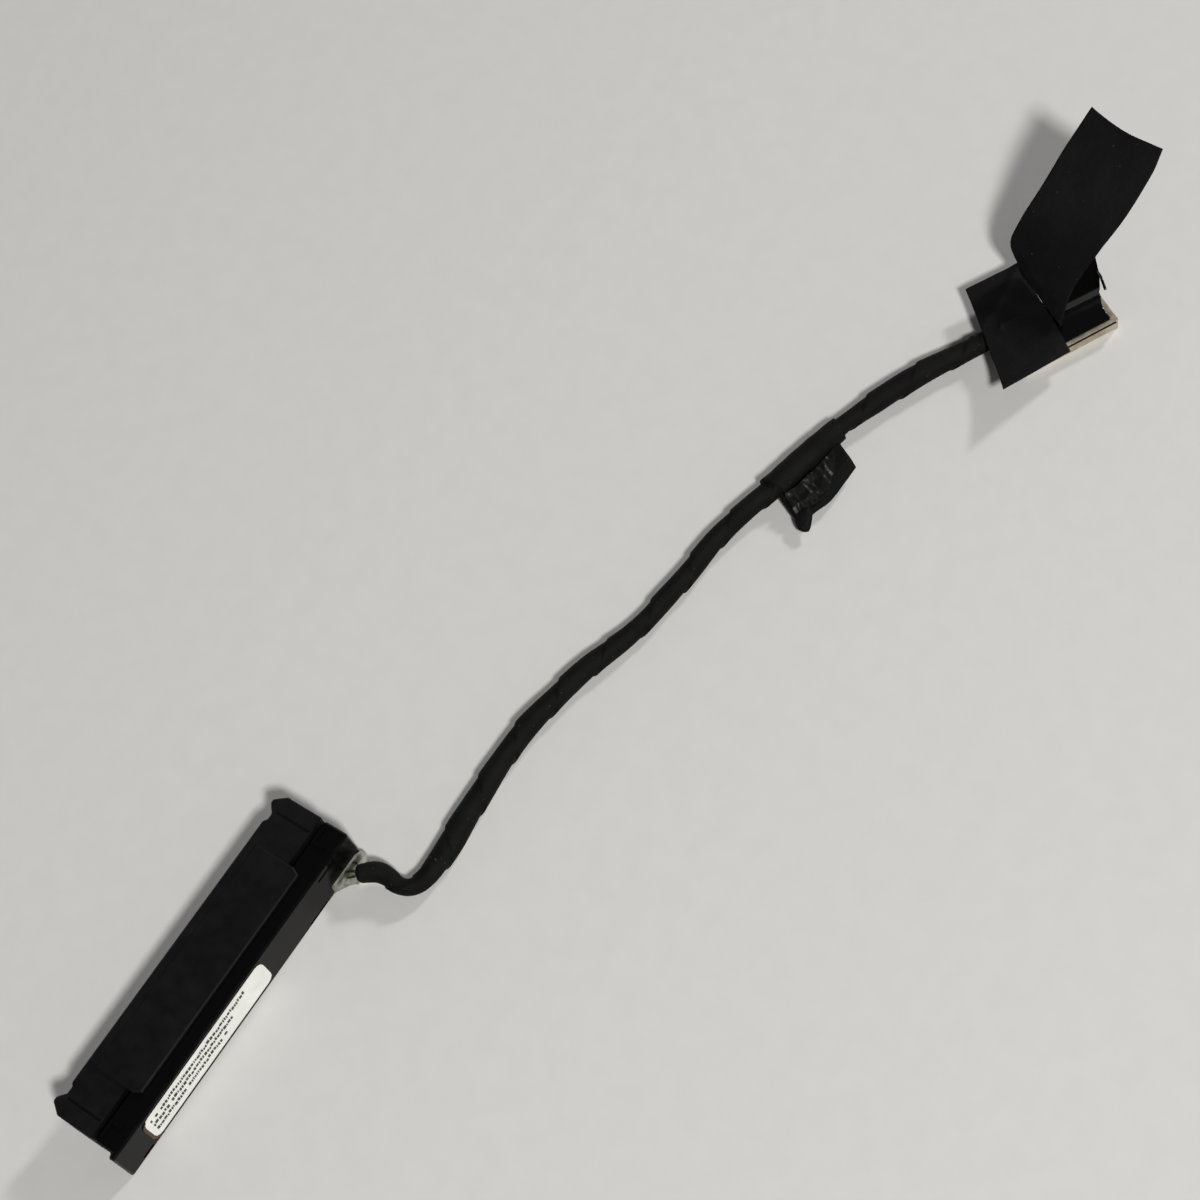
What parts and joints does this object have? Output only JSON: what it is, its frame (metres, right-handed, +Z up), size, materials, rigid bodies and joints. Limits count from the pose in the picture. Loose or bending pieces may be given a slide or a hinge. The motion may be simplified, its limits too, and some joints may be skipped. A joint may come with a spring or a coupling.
{
  "type": "sata hard drive cable",
  "caption": "Short laptop hard drive cable: a moulded drive receptacle, a taped wire bundle with a tape flag, and a low board plug with a pull tab.",
  "frame": {"origin": "centre of the drive receptacle at its underside, on the surface that the cable lies on", "axes": "+X along the receptacle towards the end that the cable leaves, +Y out of the receptacle's mating face, +Z up"},
  "size_m": [0.1564, 0.0494, 0.0161],
  "materials": {
    "moulded_black": "satin",
    "glossy_black": "glossy",
    "cloth_tape": "matte woven cloth tape",
    "acetate_tape": "satin acetate cloth tape",
    "contact_gold": "gold plated",
    "shell_nickel": "nickel plated, satin",
    "milky_glue": "translucent hot melt",
    "label_paper": "matte white sticker",
    "amber_film": "clear amber film",
    "wire_jacket": "thin wire insulation"
  },
  "bodies": {
    "root": {"receptacle_housing": "moulded_black", "signal_contact_1": "contact_gold", "signal_contact_2": "contact_gold", "signal_contact_3": "contact_gold", "signal_contact_4": "contact_gold", "signal_contact_5": "contact_gold", "signal_contact_6": "contact_gold", "signal_contact_7": "contact_gold", "power_contact_1": "contact_gold", "power_contact_2": "contact_gold", "power_contact_3": "contact_gold", "power_contact_4": "contact_gold", "power_contact_5": "contact_gold", "power_contact_6": "contact_gold", "power_contact_7": "contact_gold", "power_contact_8": "contact_gold", "power_contact_9": "contact_gold", "power_contact_10": "contact_gold", "power_contact_11": "contact_gold", "power_contact_12": "contact_gold", "power_contact_13": "contact_gold", "power_contact_14": "contact_gold", "power_contact_15": "contact_gold", "rear_cover": "glossy_black", "inner_mould": "milky_glue", "label_underlay": "amber_film", "label": "label_paper", "cable_sleeve": "cloth_tape", "mid_tape_flag": "cloth_tape", "plug_insulator": "moulded_black", "plug_contact_1": "contact_gold", "plug_contact_2": "contact_gold", "plug_contact_3": "contact_gold", "plug_contact_4": "contact_gold", "plug_contact_5": "contact_gold", "plug_contact_6": "contact_gold", "plug_contact_7": "contact_gold", "plug_contact_8": "contact_gold", "plug_wire_1": "wire_jacket", "plug_wire_2": "wire_jacket", "plug_wire_3": "wire_jacket", "plug_wire_4": "wire_jacket", "plug_wire_5": "wire_jacket", "plug_wire_6": "wire_jacket", "plug_wire_7": "wire_jacket", "plug_wire_8": "wire_jacket", "plug_shell": "shell_nickel", "plug_film": "glossy_black", "board_tape": "acetate_tape", "pull_tab": "acetate_tape"}
  },
  "joints": []
}
